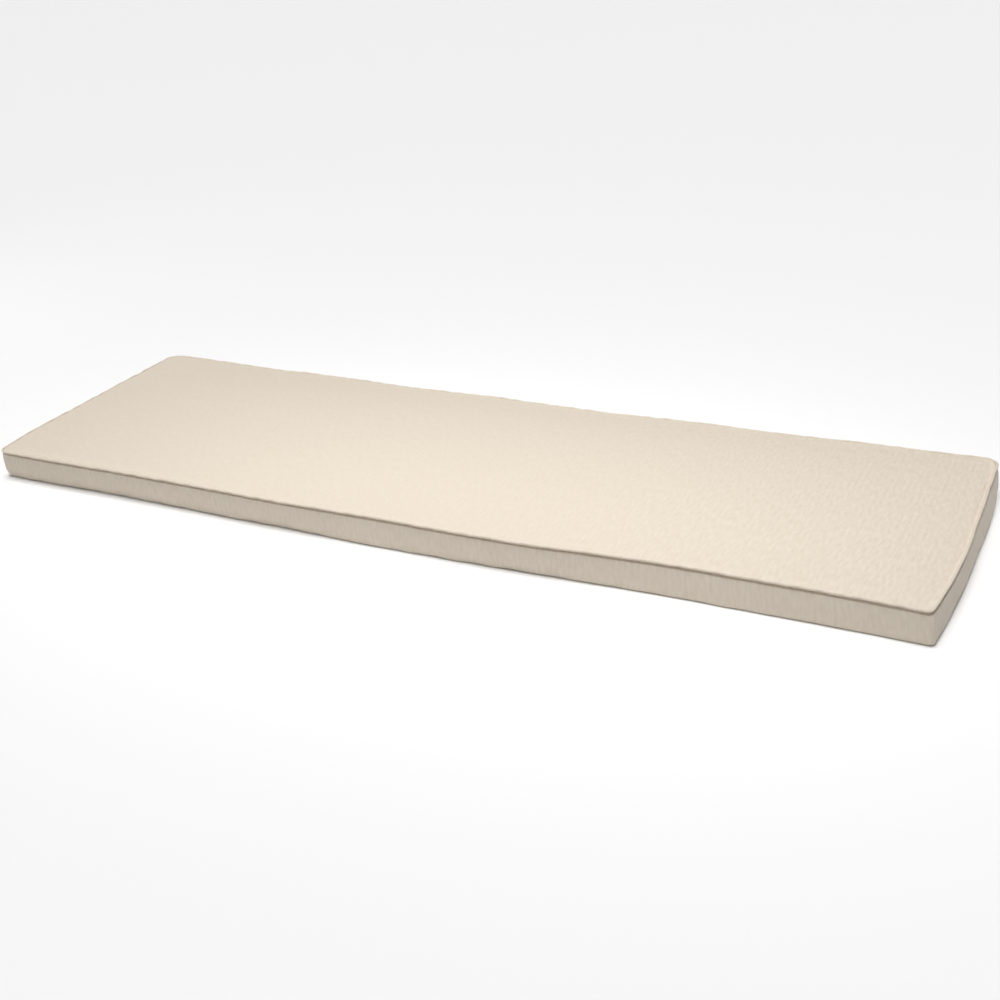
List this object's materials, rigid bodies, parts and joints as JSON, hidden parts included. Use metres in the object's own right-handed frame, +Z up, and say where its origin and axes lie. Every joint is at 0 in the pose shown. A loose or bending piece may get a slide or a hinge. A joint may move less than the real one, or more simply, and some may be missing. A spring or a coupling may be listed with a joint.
{
  "type": "swing seat cushion",
  "caption": "Long, thin box cushion for the seat of a porch or garden swing, in plain woven cream canvas, with a low crown and a slim self-fabric welt round the top seam.",
  "frame": {"origin": "middle of the cushion's base, on the surface that it lies on", "axes": "+X along the length to the right end, +Y from the front to the back, +Z up out of the top panel"},
  "size_m": [1.5387, 0.4647, 0.0556],
  "materials": {
    "cover": "matt, plain woven outdoor canvas",
    "welt": "matt, plain woven outdoor canvas"
  },
  "bodies": {
    "root": {"cushion": "cover", "welt": "welt"}
  },
  "joints": []
}
